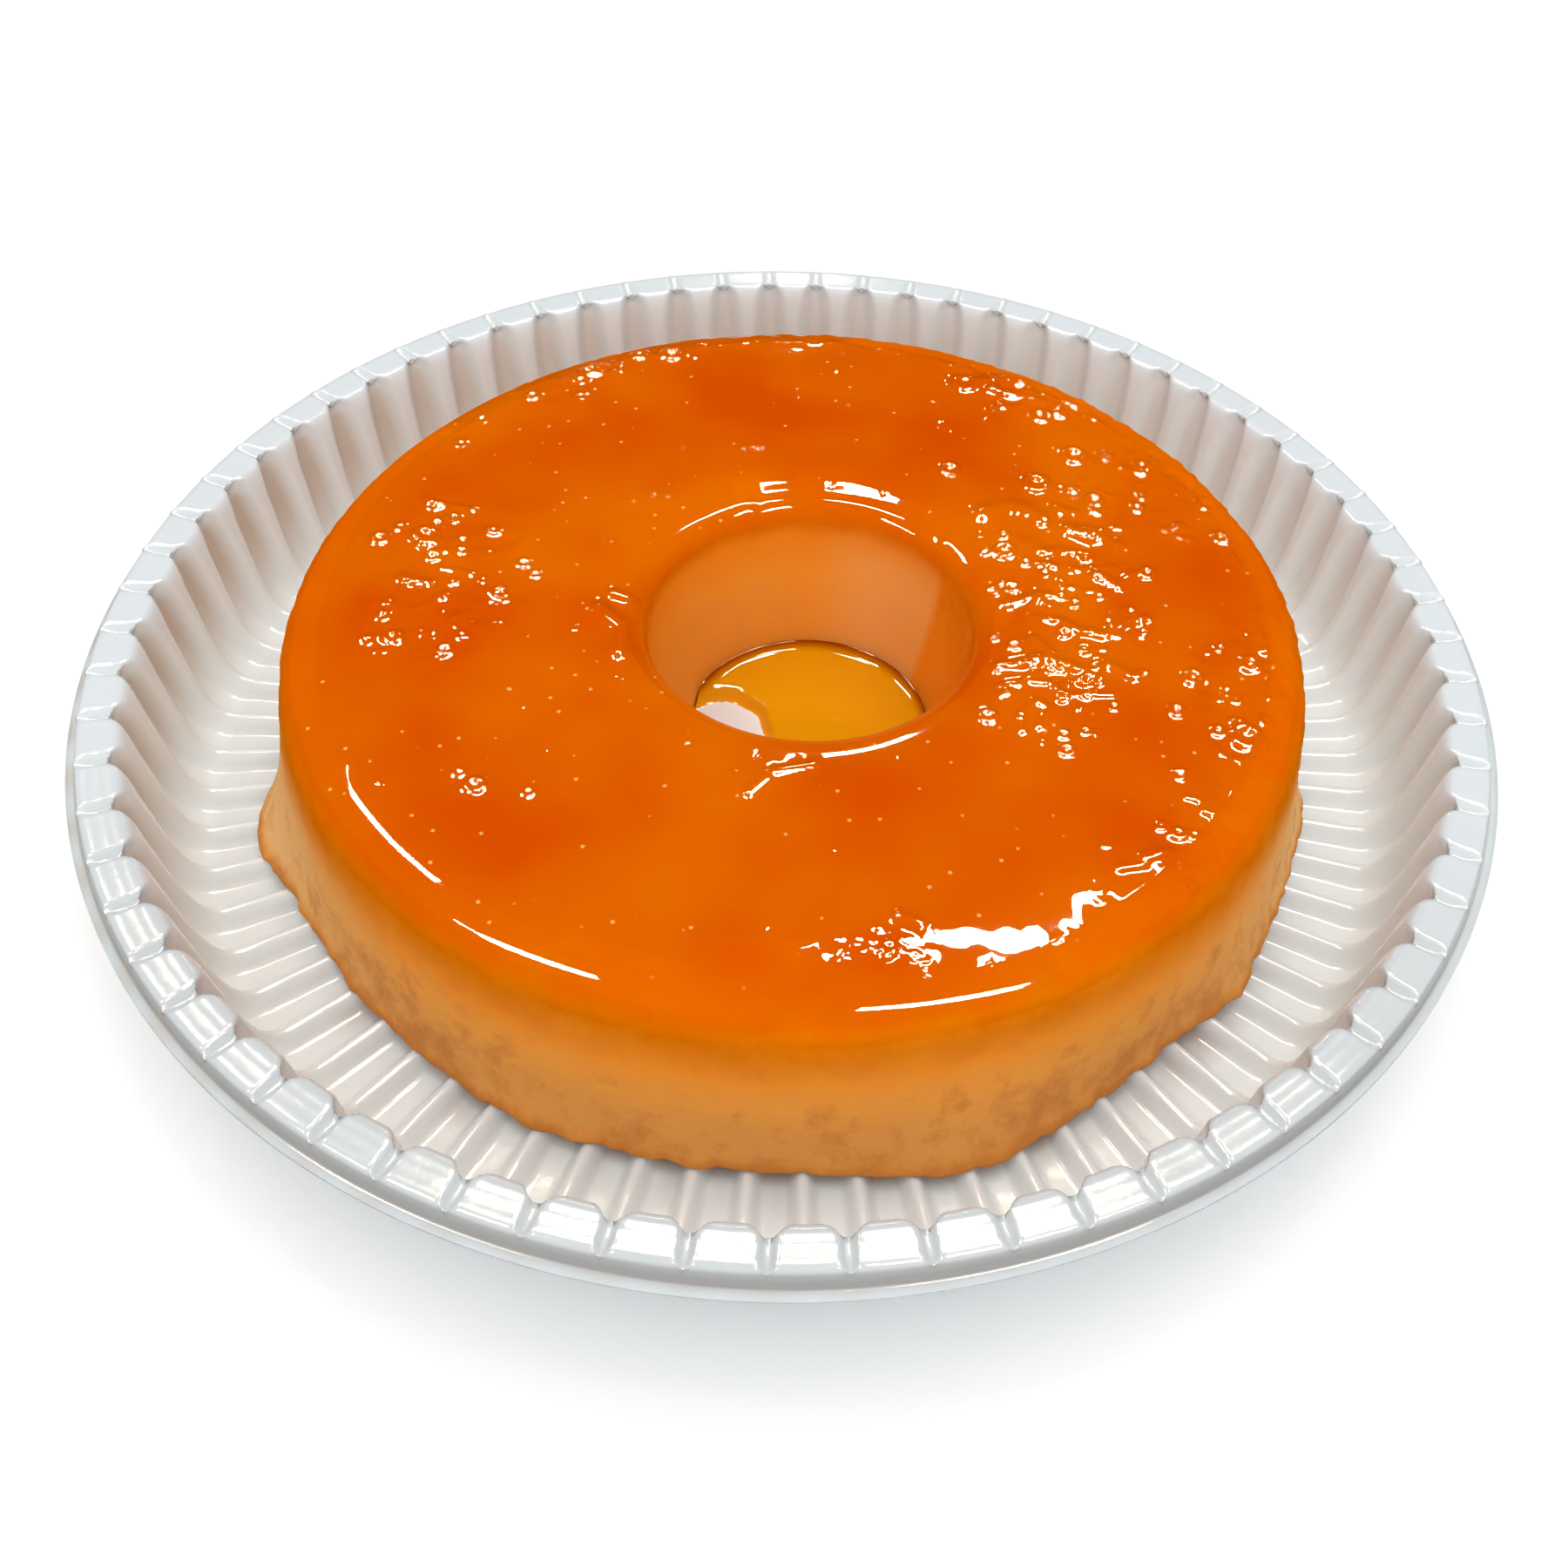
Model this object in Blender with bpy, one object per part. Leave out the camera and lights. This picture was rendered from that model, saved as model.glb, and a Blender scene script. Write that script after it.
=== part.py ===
"""A caramel pudding ring on its fluted disposable plate.

Metres, +Z up. The origin lies under the middle of the plate, on the surface that the plate stands on.
Azimuths are in degrees, anticlockwise from +X as seen from above; the pudding is viewed from -Y.
"""

import math

import bmesh
import bpy
from mathutils import Matrix, Vector

MM = 0.001

# The plate: a thin formed sheet. Heights are measured down from the flat top of its rim.
FLUTES = 70
FLUTE_PITCH = math.tau / FLUTES
SHEET = 0.8 * MM
RIM_RADIUS = 103.0 * MM
FLANGE_RADIUS = 105.0 * MM
SKIRT_DROP = 2.8 * MM
RIM_WIDTH = 5.0 * MM
FLUTE_DEPTH = 2.3 * MM
GROOVE_DEPTH = 1.2 * MM
WELL_DEPTH = 22.4 * MM
WALL_TOP_RADIUS = 96.3 * MM
WALL_FOOT_RADIUS = 93.9 * MM
BEND_RUN = 4.9 * MM
BEND_RISE = 5.9 * MM
RIB_INNER_RADIUS = 68.0 * MM
FOOT_RING_OUTER = 65.0 * MM
FOOT_RING_INNER = 60.0 * MM
CENTRE_RADIUS = 57.5 * MM

STANDING_HEIGHT = WELL_DEPTH + FLUTE_DEPTH + SHEET
WELL_FLOOR = FLUTE_DEPTH + SHEET

# The pudding: a ring turned out of its mould, resting on the ribs of the well.
GAP = 0.3 * MM
PUDDING_BOTTOM = WELL_FLOOR + GAP
PUDDING_TOP = STANDING_HEIGHT + 5.5 * MM
FOOT_RADIUS = 80.0 * MM
SHOULDER_RADIUS = 76.0 * MM
TOP_EDGE_RADIUS = 64.0 * MM
INNER_EDGE_RADIUS = 35.0 * MM
HOLE_TOP_RADIUS = 24.8 * MM
HOLE_FOOT_RADIUS = 19.3 * MM
PUDDING_STEPS = 60
PUDDING_SHIFT = Vector((0.2 * MM, 0.7 * MM, 0.0))
HOLE_SHIFT = Vector((1.8 * MM, 0.0, 0.0))

# Where the foot of the ring bulges or draws in: azimuth, how far out, half width in degrees.
FOOT_BULGES = (
    (-159.0, 4.2 * MM, 8.0),
    (-113.0, 0.7 * MM, 6.0),
    (-92.0, -1.5 * MM, 10.0),
    (-69.0, 2.0 * MM, 9.0),
    (-46.0, -0.9 * MM, 7.0),
    (-34.0, 1.5 * MM, 5.0),
    (-7.0, 0.9 * MM, 9.0),
)

# The caramel that has run into the hole, and the spot there that it leaves bare.
POOL_DEPTH = 2.0 * MM
POOL_STEPS = 72
BARE_SPOT_CENTRE = Vector((-12.2 * MM, -2.0 * MM, 0.0))
BARE_SPOT_SIZE = (7.4 * MM, 8.4 * MM)
BARE_SPOT_STEPS = 32

WHITE_POLYSTYRENE = (0.78, 0.80, 0.80)
CARAMEL_CUSTARD = (0.72, 0.13, 0.004)
AMBER_SYRUP = (0.80, 0.30, 0.01)


def clear_scene():
    """Remove every object that the scene holds."""
    for existing in list(bpy.data.objects):
        bpy.data.objects.remove(existing, do_unlink=True)


def principled(name, colour, roughness):
    """A plain Principled BSDF material."""
    material = bpy.data.materials.new(name)
    material.use_nodes = True
    shader = material.node_tree.nodes["Principled BSDF"]
    shader.inputs["Base Color"].default_value = (*colour, 1.0)
    shader.inputs["Roughness"].default_value = roughness
    shader.inputs["Metallic"].default_value = 0.0
    return material


def add_object(name, bm, material, sharp_angle):
    """Turn a bmesh into a named object with its material, shaded smooth below the sharp angle."""
    bmesh.ops.recalc_face_normals(bm, faces=bm.faces)
    mesh = bpy.data.meshes.new(name)
    bm.to_mesh(mesh)
    bm.free()
    mesh.materials.append(material)
    mesh.shade_smooth()
    mesh.set_sharp_from_angle(angle=math.radians(sharp_angle))
    piece = bpy.data.objects.new(name, mesh)
    bpy.context.scene.collection.objects.link(piece)
    return piece


def open_chain(bm, points):
    """A chain of edges through (radius, height) points, standing at azimuth 0."""
    verts = [bm.verts.new((radius, 0.0, height)) for radius, height in points]
    edges = [bm.edges.new(pair) for pair in zip(verts, verts[1:])]
    return verts, edges


def plate_stations():
    """The plate's upper face from its flange to its middle.

    Each station gives the ridge of a flute and its valley as (radius, drop from the rim), and the share
    of the pitch that the ridge takes: a broad pad on the rim, a narrow rib in the well, and all of it
    where the plate is plain.
    """
    floor = WELL_DEPTH
    valley = WELL_DEPTH + FLUTE_DEPTH
    bend_top = floor - BEND_RISE
    pad_inner = RIM_RADIUS - RIM_WIDTH
    flange = (FLANGE_RADIUS, SKIRT_DROP)
    skirt_foot = (RIM_RADIUS + 0.7 * MM, SKIRT_DROP)
    mid_bend = (WALL_FOOT_RADIUS - 0.33 * BEND_RUN, floor - 0.28 * BEND_RISE)
    return [
        (flange, flange, 1.0),
        (skirt_foot, skirt_foot, 1.0),
        ((RIM_RADIUS, 0.0), (RIM_RADIUS, 0.4 * GROOVE_DEPTH), 0.80),
        ((pad_inner, 0.0), (pad_inner + 1.6 * MM, GROOVE_DEPTH), 0.74),
        ((WALL_TOP_RADIUS, 2.8 * MM), (WALL_TOP_RADIUS + FLUTE_DEPTH, 3.8 * MM), 0.62),
        ((WALL_FOOT_RADIUS, bend_top), (WALL_FOOT_RADIUS + FLUTE_DEPTH, bend_top + 1.6 * MM), 0.34),
        (mid_bend, (mid_bend[0] + 0.8 * FLUTE_DEPTH, mid_bend[1] + 0.9 * FLUTE_DEPTH), 0.30),
        ((WALL_FOOT_RADIUS - BEND_RUN, floor), (WALL_FOOT_RADIUS - 0.7 * BEND_RUN, valley), 0.30),
        ((RIB_INNER_RADIUS, floor), (RIB_INNER_RADIUS, valley), 0.34),
        ((FOOT_RING_OUTER, valley), (FOOT_RING_OUTER, valley), 1.0),
        ((FOOT_RING_INNER, valley), (FOOT_RING_INNER, valley), 1.0),
        ((CENTRE_RADIUS, floor), (CENTRE_RADIUS, floor), 1.0),
        ((0.0, floor), (0.0, floor), 1.0),
    ]


def under_face(points):
    """The line one sheet thickness below a profile that runs inwards, mitred at each corner."""
    corners = [Vector(point) for point in points]
    below = []
    for index, corner in enumerate(corners):
        normals = []
        for start, end in zip(corners[max(index - 1, 0):index + 2], corners[max(index, 1):index + 2]):
            along = (end - start).normalized()
            normals.append(Vector((-along.y, along.x)))
        middle = sum(normals, Vector((0.0, 0.0)))
        offset = middle * (len(normals) * SHEET / middle.length_squared)
        below.append((corner.x + offset.x, corner.y + offset.y))
    below[0] = (points[0][0], points[0][1] - SHEET)
    below[-1] = (0.0, points[-1][1] - SHEET)
    return below


def make_plate():
    """One flute of the plate between two valleys, turned and joined seventy times."""
    stations = plate_stations()
    ridge = [(radius, STANDING_HEIGHT - drop) for (radius, drop), _, _ in stations]
    valley = [(radius, STANDING_HEIGHT - drop) for _, (radius, drop), _ in stations]
    shares = [share for _, _, share in stations]
    ridge_under = under_face(ridge)
    valley_under = [
        plain if share == 1.0 else own
        for share, plain, own in zip(shares, ridge_under, under_face(valley))
    ]
    ridge_loop = ridge[::-1] + ridge_under
    valley_loop = valley[::-1] + valley_under
    share_loop = shares[::-1] + shares

    bm = bmesh.new()
    station_of = bm.verts.layers.int.new("station")
    verts, edges = open_chain(bm, valley_loop)
    for index, vert in enumerate(verts):
        vert[station_of] = index
    bmesh.ops.spin(
        bm, geom=verts + edges, cent=(0, 0, 0), axis=(0, 0, 1), dvec=(0, 0, 0),
        angle=FLUTE_PITCH, steps=3, use_duplicate=False, use_merge=False,
    )
    for vert in bm.verts:
        index = vert[station_of]
        step = round(3.0 * math.atan2(vert.co.y, vert.co.x) / FLUTE_PITCH)
        if step in (1, 2):
            side = -0.5 if step == 1 else 0.5
            azimuth = FLUTE_PITCH * (0.5 + side * share_loop[index])
            radius, height = ridge_loop[index]
            vert.co = (radius * math.cos(azimuth), radius * math.sin(azimuth), height)
    bmesh.ops.remove_doubles(bm, verts=bm.verts, dist=0.001 * MM)
    bmesh.ops.spin(
        bm, geom=bm.verts[:] + bm.edges[:] + bm.faces[:], cent=(0, 0, 0), axis=(0, 0, 1), dvec=(0, 0, 0),
        angle=FLUTE_PITCH * (FLUTES - 1), steps=FLUTES - 1, use_duplicate=True,
    )
    bmesh.ops.remove_doubles(bm, verts=bm.verts, dist=0.001 * MM)
    return add_object("plate", bm, principled("white_polystyrene", WHITE_POLYSTYRENE, 0.25), 40.0)


def pudding_profile():
    """The ring's section from the inner foot over the top to the outer foot, as (radius, height)."""
    height = PUDDING_TOP - PUDDING_BOTTOM
    return [
        (HOLE_FOOT_RADIUS, PUDDING_BOTTOM),
        (HOLE_FOOT_RADIUS + 0.78 * (HOLE_TOP_RADIUS - HOLE_FOOT_RADIUS), PUDDING_BOTTOM + 0.70 * height),
        (HOLE_TOP_RADIUS, PUDDING_TOP - 3.6 * MM),
        (HOLE_TOP_RADIUS + 1.3 * MM, PUDDING_TOP - 1.8 * MM),
        (HOLE_TOP_RADIUS + 4.2 * MM, PUDDING_TOP - 0.6 * MM),
        (INNER_EDGE_RADIUS, PUDDING_TOP),
        (TOP_EDGE_RADIUS, PUDDING_TOP),
        (SHOULDER_RADIUS - 5.2 * MM, PUDDING_TOP - 0.6 * MM),
        (SHOULDER_RADIUS - 1.7 * MM, PUDDING_TOP - 1.9 * MM),
        (SHOULDER_RADIUS, PUDDING_TOP - 4.2 * MM),
        (SHOULDER_RADIUS + 1.6 * MM, PUDDING_BOTTOM + 0.42 * height),
        (FOOT_RADIUS - 0.4 * MM, PUDDING_BOTTOM + 1.6 * MM),
        (FOOT_RADIUS, PUDDING_BOTTOM),
    ]


def foot_bulge(azimuth):
    """How far the foot stands out at an azimuth, in metres."""
    total = 0.0
    for centre, reach, half_width in FOOT_BULGES:
        away = (azimuth - centre + 180.0) % 360.0 - 180.0
        total += reach * math.exp(-((away / half_width) ** 2))
    return total


def make_custard():
    """The pudding ring, with its hole off centre and its foot out of round."""
    bm = bmesh.new()
    verts, edges = open_chain(bm, pudding_profile())
    edges.append(bm.edges.new((verts[-1], verts[0])))
    bmesh.ops.spin(
        bm, geom=verts + edges, cent=(0, 0, 0), axis=(0, 0, 1), dvec=(0, 0, 0),
        angle=math.tau, steps=PUDDING_STEPS, use_merge=True, use_duplicate=False,
    )
    height = PUDDING_TOP - PUDDING_BOTTOM
    for vert in bm.verts:
        radius = vert.co.xy.length
        outer_share = min(max((radius - INNER_EDGE_RADIUS) / (TOP_EDGE_RADIUS - INNER_EDGE_RADIUS), 0.0), 1.0)
        lowness = 1.0 - (vert.co.z - PUDDING_BOTTOM) / height
        bulge = foot_bulge(math.degrees(math.atan2(vert.co.y, vert.co.x))) * outer_share * lowness**3
        vert.co.xy *= 1.0 + bulge / radius
        vert.co += HOLE_SHIFT.lerp(PUDDING_SHIFT, outer_share)
    return add_object("custard", bm, principled("caramel_custard", CARAMEL_CUSTARD, 0.2), 60.0)


def make_bare_spot():
    """The cutter that keeps one spot in the hole free of caramel."""
    bm = bmesh.new()
    bmesh.ops.create_cone(
        bm, cap_ends=True, segments=BARE_SPOT_STEPS, radius1=1.0, radius2=1.0, depth=1.0,
        matrix=Matrix.Diagonal((*BARE_SPOT_SIZE, 20.0 * MM, 1.0)),
    )
    cutter = add_object("bare_spot_cutter", bm, principled("cutter", (0.5, 0.5, 0.5), 0.5), 60.0)
    cutter.location = BARE_SPOT_CENTRE
    cutter.location.z = WELL_FLOOR
    cutter.hide_render = True
    cutter.display_type = "WIRE"
    return cutter


def make_caramel_pool():
    """The puddle in the hole: a low disc up to the wall of the ring, cut round the bare spot."""
    bottom = WELL_FLOOR + GAP
    slope = (HOLE_TOP_RADIUS - HOLE_FOOT_RADIUS) / (PUDDING_TOP - PUDDING_BOTTOM)
    foot_radius = HOLE_FOOT_RADIUS - GAP
    bm = bmesh.new()
    bmesh.ops.create_cone(
        bm, cap_ends=True, segments=POOL_STEPS, depth=POOL_DEPTH,
        radius1=foot_radius, radius2=foot_radius + slope * POOL_DEPTH,
        matrix=Matrix.Translation(HOLE_SHIFT + Vector((0.0, 0.0, bottom + 0.5 * POOL_DEPTH))),
    )
    pool = add_object("caramel_pool", bm, principled("amber_syrup", AMBER_SYRUP, 0.08), 40.0)
    cut = pool.modifiers.new("bare_spot", "BOOLEAN")
    cut.operation = "DIFFERENCE"
    cut.object = make_bare_spot()
    return pool


clear_scene()
make_plate()
make_custard()
make_caramel_pool()
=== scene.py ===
"""Looks of a caramel pudding ring on its fluted disposable plate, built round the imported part.

Metres, +Z up, the same frame as the part: the origin is under the middle of the plate. Sizes in the
classes are millimetres, and azimuths are degrees anticlockwise from +X, seen from above.
"""

import logging
import math
import random
from dataclasses import dataclass, field
from enum import Enum

import bmesh
import bpy
from mathutils import Matrix, Quaternion, Vector, noise


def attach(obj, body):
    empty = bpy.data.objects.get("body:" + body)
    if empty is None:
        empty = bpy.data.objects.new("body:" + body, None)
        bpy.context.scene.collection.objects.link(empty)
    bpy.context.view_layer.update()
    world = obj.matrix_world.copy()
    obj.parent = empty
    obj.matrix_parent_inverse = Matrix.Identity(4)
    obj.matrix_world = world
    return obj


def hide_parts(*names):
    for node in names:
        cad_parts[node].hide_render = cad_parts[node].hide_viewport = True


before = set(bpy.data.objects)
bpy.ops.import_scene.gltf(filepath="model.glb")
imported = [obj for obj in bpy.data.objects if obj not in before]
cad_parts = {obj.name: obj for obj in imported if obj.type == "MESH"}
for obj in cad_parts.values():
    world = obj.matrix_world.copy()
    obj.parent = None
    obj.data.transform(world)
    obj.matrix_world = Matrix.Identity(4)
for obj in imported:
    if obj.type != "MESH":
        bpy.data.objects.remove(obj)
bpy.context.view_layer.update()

MM = 0.001
WELD = 0.001 * MM
LOG = logging.getLogger("pudding")

# Plain tuples, each explained where it is used.
Point = tuple[float, float]
Station = tuple[Point, Point, float, float]
Bulge = tuple[float, float, float]
Window = tuple[float, float, float]
Spot = tuple[float, float, float]
Pleat = tuple[Point, Point, float, float]

# Node sockets whose names repeat, by number: Map Range's limits, then Mix's factor, colours and result.
FROM_LOW, FROM_HIGH, TO_LOW, TO_HIGH = 1, 2, 3, 4
FACTOR, UNDER, OVER, MIXED = 0, 6, 7, 2


class Slot(Enum):
    """Names for the material slots, one for each finish."""

    PLATE = "white_polystyrene"
    CUSTARD = "caramel_custard"
    SYRUP = "amber_syrup"


def linear(hex_colour: str) -> tuple[float, float, float, float]:
    """Turn an sRGB hex colour into linear RGBA.

    Args:
        hex_colour: six hex digits, such as "F2A03C".

    Returns:
        The linear colour with an alpha of 1.
    """
    parts = [int(hex_colour[at:at + 2], 16) / 255.0 for at in (0, 2, 4)]
    return (*(p / 12.92 if p <= 0.04045 else ((p + 0.055) / 1.055) ** 2.4 for p in parts), 1.0)


def smooth(low: float, high: float, value: float) -> float:
    """Step smoothly from 0 to 1.

    Args:
        low: the value below which the step is 0.
        high: the value above which it is 1.
        value: the value to read.

    Returns:
        The step there.
    """
    share = min(max((value - low) / (high - low), 0.0), 1.0)
    return share * share * (3.0 - 2.0 * share)


def along(table: tuple[Point, ...], at: float) -> float:
    """Read a table of (place, value) pairs with straight lines between its rows.

    Args:
        table: the rows, with rising places.
        at: the place to read.

    Returns:
        The value there, held beyond the first and last rows.
    """
    if at <= table[0][0]:
        return table[0][1]
    for (a, low), (b, high) in zip(table, table[1:]):
        if at <= b:
            return low + (high - low) * (at - a) / (b - a)
    return table[-1][1]


def turn_between(azimuth: float, centre: float) -> float:
    """Return the signed angle in degrees from centre to azimuth."""
    return (azimuth - centre + 180.0) % 360.0 - 180.0


def within(azimuth: float, centre: float, half: float, soft: float) -> float:
    """Return 1 inside a window of azimuths, fading to 0 over the soft degrees past its half width."""
    return 1.0 - smooth(half, half + soft, abs(turn_between(azimuth, centre)))


def bell(azimuth: float, centre: float, width: float) -> float:
    """Return a bell curve of azimuths, 1 at its centre."""
    return math.exp(-((turn_between(azimuth, centre) / width) ** 2))


def ripple(x: float, y: float, size: float, layer: float) -> float:
    """Return smooth noise in plan, from about -1 to 1: size is its grain, and layer picks the pattern."""
    return noise.noise(Vector((x / size, y / size, layer)))


def add_node(tree: bpy.types.NodeTree, kind: str, inputs: dict | None = None, **settings) -> bpy.types.Node:
    """Add one node, with its settings, its values and its links.

    Args:
        tree: the node tree to add it to.
        kind: the node's type name.
        inputs: a value or an output socket for each input, by name or number.
        settings: the node's own properties; stops are a colour ramp's (place, colour) pairs.

    Returns:
        The new node.
    """
    made = tree.nodes.new(kind)
    stops = settings.pop("stops", ())
    for place, colour in stops:
        made.color_ramp.elements.new(place).color = colour
    if stops:
        for default in (0, -1):
            made.color_ramp.elements.remove(made.color_ramp.elements[default])
    for name, value in settings.items():
        setattr(made, name, value)
    for key, value in (inputs or {}).items():
        socket = made.inputs[key]
        if isinstance(value, bpy.types.NodeSocket):
            tree.links.new(value, socket)
        else:
            socket.default_value = value
    return made


def new_material(name: str) -> tuple[bpy.types.Material, bpy.types.NodeTree, bpy.types.Node]:
    """Make an empty material with a Principled shader.

    Args:
        name: the material's name.

    Returns:
        The material, its node tree and its shader.
    """
    material = bpy.data.materials.new(name)
    material.use_nodes = True
    tree = material.node_tree
    tree.nodes.clear()
    shader = add_node(tree, "ShaderNodeBsdfPrincipled")
    add_node(tree, "ShaderNodeOutputMaterial", {"Surface": shader.outputs[0]})
    return material, tree, shader


def finish_piece(name: str, bm: bmesh.types.BMesh, material: bpy.types.Material,
                 replaced: tuple[str, ...] = ()) -> bpy.types.Object:
    """Turn a bmesh into a smooth named piece that rides on the part.

    Args:
        name: the piece's name.
        bm: its mesh, in metres and in place; it is freed.
        material: its finish.
        replaced: the part's nodes that this piece stands for.

    Returns:
        The new object.
    """
    mesh = bpy.data.meshes.new(name)
    bm.to_mesh(mesh)
    bm.free()
    mesh.materials.append(material)
    mesh.shade_smooth()
    piece = bpy.data.objects.new(name, mesh)
    bpy.context.scene.collection.objects.link(piece)
    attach(piece, "root")
    if replaced:
        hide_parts(*replaced)
    LOG.info("%s: %d faces", name, len(mesh.polygons))
    return piece


def open_line(bm: bmesh.types.BMesh, points: list[Point]) -> list[bmesh.types.BMVert]:
    """Draw an open line of edges through (radius, height) points at azimuth 0.

    Args:
        bm: the mesh to draw in.
        points: the line's points in millimetres.

    Returns:
        The line's vertices, in order.
    """
    verts = [bm.verts.new((radius * MM, 0.0, height * MM)) for radius, height in points]
    for pair in zip(verts, verts[1:]):
        bm.edges.new(pair)
    return verts


def spin_round(bm: bmesh.types.BMesh, steps: int) -> None:
    """Turn all of a mesh's lines once round the vertical axis, and close the seam."""
    bmesh.ops.spin(bm, geom=bm.verts[:] + bm.edges[:], cent=(0, 0, 0), axis=(0, 0, 1), dvec=(0, 0, 0),
                   angle=math.tau, steps=steps, use_merge=True, use_duplicate=False)


@dataclass(frozen=True)
class Polystyrene:
    """White high-impact polystyrene, thermoformed from thin sheet.

    It looks cool white and glossy. The mould leaves the face gently rippled, which breaks up its
    highlights, and the sheet's grain softens them. Painted shade darkens the skirt and the pads and
    warms the deep flutes, the middle and the floor by the pudding, and a painted contact shadow lies in
    front of the pudding's foot.
    """

    colour: str = "E2E9EB"
    clear: str = "E7EEF0"
    skirt_and_pad_shade: str = "A2A2A0"
    recess_shade: str = "C8B8A6"
    foot_shadow: str = "9A6A4C"
    roughness: float = 0.15
    ior: float = 1.55
    gloss: float = 0.15
    ripple_mm: float = 7.0
    ripple_depth_mm: float = 0.25
    grain_mm: float = 0.8
    grain_depth_mm: float = 0.02

    def material(self) -> bpy.types.Material:
        """Make the finish.

        Returns:
            The material.
        """
        material, tree, shader = new_material("polystyrene_thermoformed")
        place = add_node(tree, "ShaderNodeTexCoord").outputs["Object"]
        # The real grain is finer: it is drawn this coarse so that it shows.
        rippled, grain = (
            add_node(tree, "ShaderNodeTexNoise", {
                "Vector": place, "Scale": 1.0 / (size * MM), "Detail": 2.0}).outputs["Fac"]
            for size in (self.ripple_mm, self.grain_mm))
        colour = add_node(tree, "ShaderNodeMix", {
            FACTOR: rippled, UNDER: linear(self.colour), OVER: linear(self.clear)},
            data_type="RGBA").outputs[MIXED]
        # Painted shade on the skirt, the pads and the recesses, and a painted contact shadow by the pudding's
        # foot.
        for name, paint_shade in (("skirt_and_pad_shade", self.skirt_and_pad_shade), ("recess_shade", self.recess_shade), ("foot_shadow", self.foot_shadow)):
            share = add_node(tree, "ShaderNodeAttribute", attribute_name=name).outputs["Fac"]
            colour = add_node(tree, "ShaderNodeMix", {
                FACTOR: share, UNDER: colour, OVER: linear(paint_shade)}, data_type="RGBA").outputs[MIXED]
        rough = add_node(tree, "ShaderNodeMapRange", {
            "Value": grain, TO_LOW: self.roughness * 0.75, TO_HIGH: self.roughness * 1.3})
        wavy = add_node(tree, "ShaderNodeBump", {
            "Height": rippled, "Distance": self.ripple_depth_mm * MM, "Strength": 0.5})
        fine = add_node(tree, "ShaderNodeBump", {
            "Height": grain, "Distance": self.grain_depth_mm * MM, "Strength": 0.4,
            "Normal": wavy.outputs[0]})
        tree.links.new(colour, shader.inputs["Base Color"])
        tree.links.new(rough.outputs[0], shader.inputs["Roughness"])
        tree.links.new(fine.outputs[0], shader.inputs["Normal"])
        shader.inputs["IOR"].default_value = self.ior
        shader.inputs["Specular IOR Level"].default_value = self.gloss
        return material


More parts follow.
